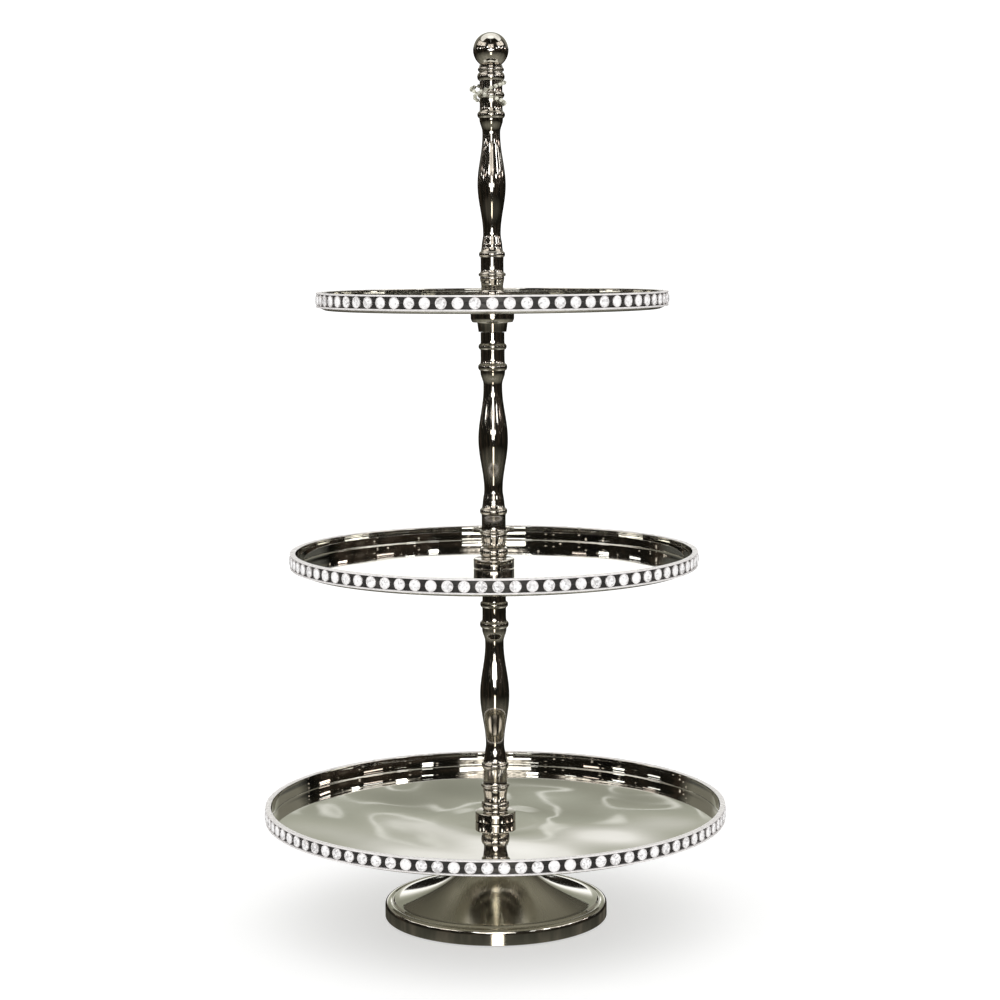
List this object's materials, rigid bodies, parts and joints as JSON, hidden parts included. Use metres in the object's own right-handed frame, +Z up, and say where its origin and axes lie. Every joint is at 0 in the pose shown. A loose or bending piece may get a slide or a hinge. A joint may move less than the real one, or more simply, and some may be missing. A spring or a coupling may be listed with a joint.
{
  "type": "tiered cake stand",
  "caption": "Tiered cake stand: shallow round trays with stone-set rims on a turned pole, ball finial on top, trumpet foot below.",
  "frame": {"origin": "on the table, under the pole's axis", "axes": "+Z up along the pole, the picture is taken from -Y, +X to its right"},
  "size_m": [0.3, 0.2998, 0.5694],
  "materials": {
    "polished_nickel": "mirror polished nickel plate",
    "crystal": "clear faceted stone in a bright metal cup",
    "plated_steel": "zinc plated threads and washers",
    "felt": "matt black felt"
  },
  "bodies": {
    "foot": {"foot_shell": "polished_nickel", "foot_base_plate": "plated_steel", "foot_felt_ring": "felt", "base_washer": "plated_steel", "base_nut": "plated_steel", "lower_stud": "plated_steel"},
    "lower_tray": {"lower_tray_pan": "polished_nickel", "lower_stone_chain": "crystal"},
    "lower_column": {"lower_column_base": "polished_nickel", "lower_column_spindle": "polished_nickel", "lower_column_cap": "polished_nickel", "middle_stud": "plated_steel"},
    "middle_tray": {"middle_tray_pan": "polished_nickel", "middle_stone_chain": "crystal"},
    "middle_column": {"middle_column_base": "polished_nickel", "middle_column_spindle": "polished_nickel", "middle_column_cap": "polished_nickel", "upper_stud": "plated_steel"},
    "upper_tray": {"upper_tray_pan": "polished_nickel", "upper_stone_chain": "crystal"},
    "upper_column": {"upper_column_base": "polished_nickel", "upper_column_spindle": "polished_nickel", "finial_collar": "polished_nickel", "neck_bead_strand": "crystal"},
    "finial": {"finial_ball": "polished_nickel", "finial_stud": "plated_steel"}
  },
  "joints": [
    {"name": "lower_tray_turn", "type": "hinge", "parent": "foot", "child": "lower_tray", "pos_m": [0, 0, 0.063], "axis": [0, 0, 1], "continuous": true},
    {"name": "lower_column_lift", "type": "slide", "parent": "foot", "child": "lower_column", "axis": [0, 0, 1], "range_m": [0, 0.035]},
    {"name": "middle_tray_turn", "type": "hinge", "parent": "lower_column", "child": "middle_tray", "pos_m": [0, 0, 0.2293], "axis": [0, 0, 1], "continuous": true},
    {"name": "middle_column_lift", "type": "slide", "parent": "lower_column", "child": "middle_column", "axis": [0, 0, 1], "range_m": [0, 0.035]},
    {"name": "upper_tray_turn", "type": "hinge", "parent": "middle_column", "child": "upper_tray", "pos_m": [0, 0, 0.3956], "axis": [0, 0, 1], "continuous": true},
    {"name": "upper_column_lift", "type": "slide", "parent": "middle_column", "child": "upper_column", "axis": [0, 0, 1], "range_m": [0, 0.035]},
    {"name": "finial_lift", "type": "slide", "parent": "upper_column", "child": "finial", "axis": [0, 0, 1], "range_m": [0, 0.025]}
  ]
}
